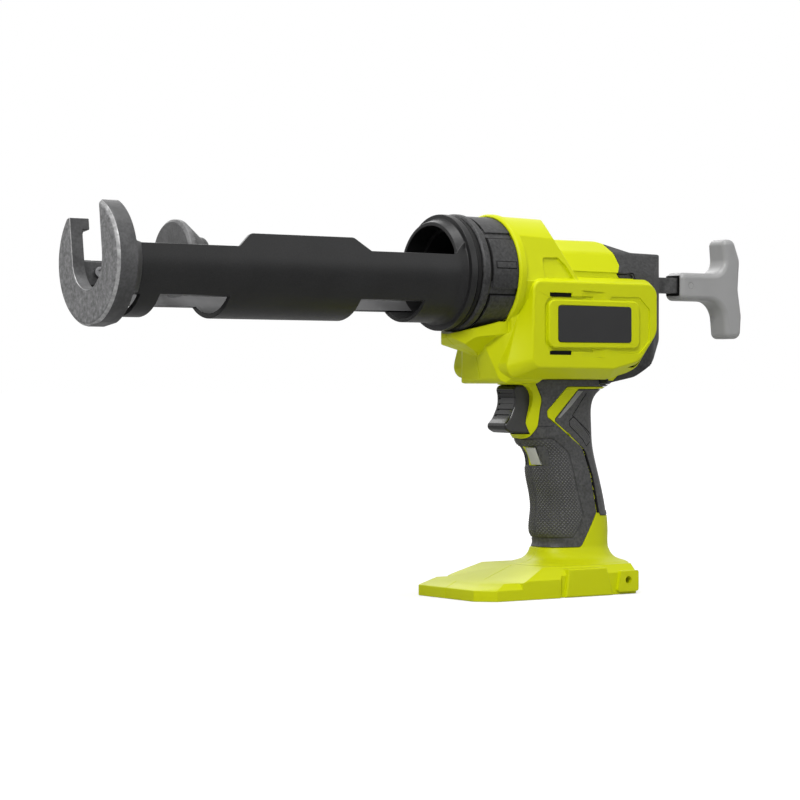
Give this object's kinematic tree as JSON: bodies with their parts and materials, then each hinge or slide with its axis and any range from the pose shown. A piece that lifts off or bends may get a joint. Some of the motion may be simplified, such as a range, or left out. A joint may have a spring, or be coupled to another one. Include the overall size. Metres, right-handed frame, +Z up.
{
  "type": "cordless caulking tool",
  "caption": "Pistol-grip cordless caulking tool with a turning cartridge cradle, twist lock collar, geared rack plunger rod with pull handle, trigger and battery foot.",
  "frame": {"origin": "centre of the foot's flat base, on the seam plane of the housing halves", "axes": "+X forward along the plunger rod towards the nozzle slot, +Y to the tool's left, +Z up"},
  "size_m": [0.4743, 0.0776, 0.2325],
  "materials": {
    "housing_plastic": "satin moulded yellow-green plastic",
    "cover_plastic": "fine-textured dark grey plastic",
    "grip_rubber": "textured dark grey overmould",
    "seal_rubber": "smooth dark rubber",
    "badge_plastic": "bare dark plate",
    "cradle_plastic": "dark grey filled plastic, slight sheen",
    "fork_casting": "mottled dark grey casting",
    "disc_casting": "grey casting",
    "rod_steel": "dark oiled steel",
    "screw_steel": "dark plated steel",
    "gear_steel": "machined steel",
    "bush_brass": "plain bronze",
    "gearbox_casting": "die-cast",
    "motor_steel": "plated can",
    "inner_plastic": "black moulding",
    "board_laminate": "green laminate",
    "trigger_plastic": "semi-gloss black",
    "button_plastic": "light grey",
    "handle_plastic": "light grey moulded plastic"
  },
  "bodies": {
    "housing": {"left_housing": "housing_plastic", "right_housing": "housing_plastic", "rear_cap": "cover_plastic", "left_grip": "grip_rubber", "right_grip": "grip_rubber", "left_backstrap": "grip_rubber", "right_backstrap": "grip_rubber", "left_badge_plate": "badge_plastic", "right_badge_plate": "badge_plastic", "housing_screws": "screw_steel", "nose_spigot": "cradle_plastic", "front_rod_bush": "bush_brass", "rear_rod_bush": "bush_brass", "left_gear_plate": "gear_steel", "right_gear_plate": "gear_steel", "plate_spacers": "gear_steel", "gearbox_case": "gearbox_casting", "motor_can": "motor_steel", "motor_end_cap": "inner_plastic", "drive_bearings": "bush_brass", "idler_bushes": "bush_brass", "switch_module": "inner_plastic", "control_board": "board_laminate", "terminal_block": "inner_plastic", "battery_terminals": "bush_brass"},
    "rod": {"plunger_rod": "rod_steel", "plunger_disc": "disc_casting", "plunger_screw": "screw_steel", "pull_handle": "handle_plastic", "pull_handle_pin": "screw_steel"},
    "drive_gears": {"drive_shaft": "gear_steel", "drive_pinion": "gear_steel", "output_gear": "gear_steel"},
    "idler_gears": {"idler_shaft": "gear_steel", "idler_pinion": "gear_steel", "idler_gear": "gear_steel"},
    "motor_output": {"gearbox_shaft": "gear_steel", "motor_pinion": "gear_steel"},
    "carriage": {"cradle_frame": "cradle_plastic", "front_fork": "fork_casting", "fork_screws": "screw_steel", "collar_seal": "seal_rubber"},
    "collar": {"lock_collar": "cover_plastic"},
    "trigger_lever": {"trigger": "trigger_plastic", "switch_plunger": "inner_plastic"},
    "lock_bolt": {"lock_button": "button_plastic"}
  },
  "joints": [
    {"name": "rod_slide", "type": "slide", "parent": "housing", "child": "rod", "axis": [1, 0, 0], "range_m": [-0.194, 0.019]},
    {"name": "drive_spin", "type": "hinge", "parent": "housing", "child": "drive_gears", "pos_m": [-0.0055, 0, 0.1798], "axis": [0, 1, 0], "continuous": true},
    {"name": "idler_spin", "type": "hinge", "parent": "housing", "child": "idler_gears", "pos_m": [-0.02891, 0, 0.15872], "axis": [0, 1, 0], "continuous": true},
    {"name": "motor_spin", "type": "hinge", "parent": "housing", "child": "motor_output", "pos_m": [-0.05477, 0, 0.15601], "axis": [0, 1, 0], "continuous": true},
    {"name": "carriage_turn", "type": "hinge", "parent": "housing", "child": "carriage", "pos_m": [0.0285, 0, 0.196], "axis": [1, 0, 0], "continuous": true},
    {"name": "collar_twist", "type": "hinge", "parent": "housing", "child": "collar", "pos_m": [0.0425, 0, 0.196], "axis": [1, 0, 0], "range_deg": [0, 60]},
    {"name": "trigger_pull", "type": "slide", "parent": "housing", "child": "trigger_lever", "axis": [-1, 0, 0], "range_m": [0, 0.006], "stiffness_N_per_m": 600, "springref_m": -0.005},
    {"name": "lock_slide", "type": "slide", "parent": "housing", "child": "lock_bolt", "axis": [0, -1, 0], "range_m": [0, 0.002]}
  ],
  "couplings": [
    {"joint": "drive_spin", "follows": "rod_slide", "rad_per_m": 111.11},
    {"joint": "idler_spin", "follows": "rod_slide", "rad_per_m": -355.56},
    {"joint": "motor_spin", "follows": "rod_slide", "rad_per_m": 1493.3}
  ]
}
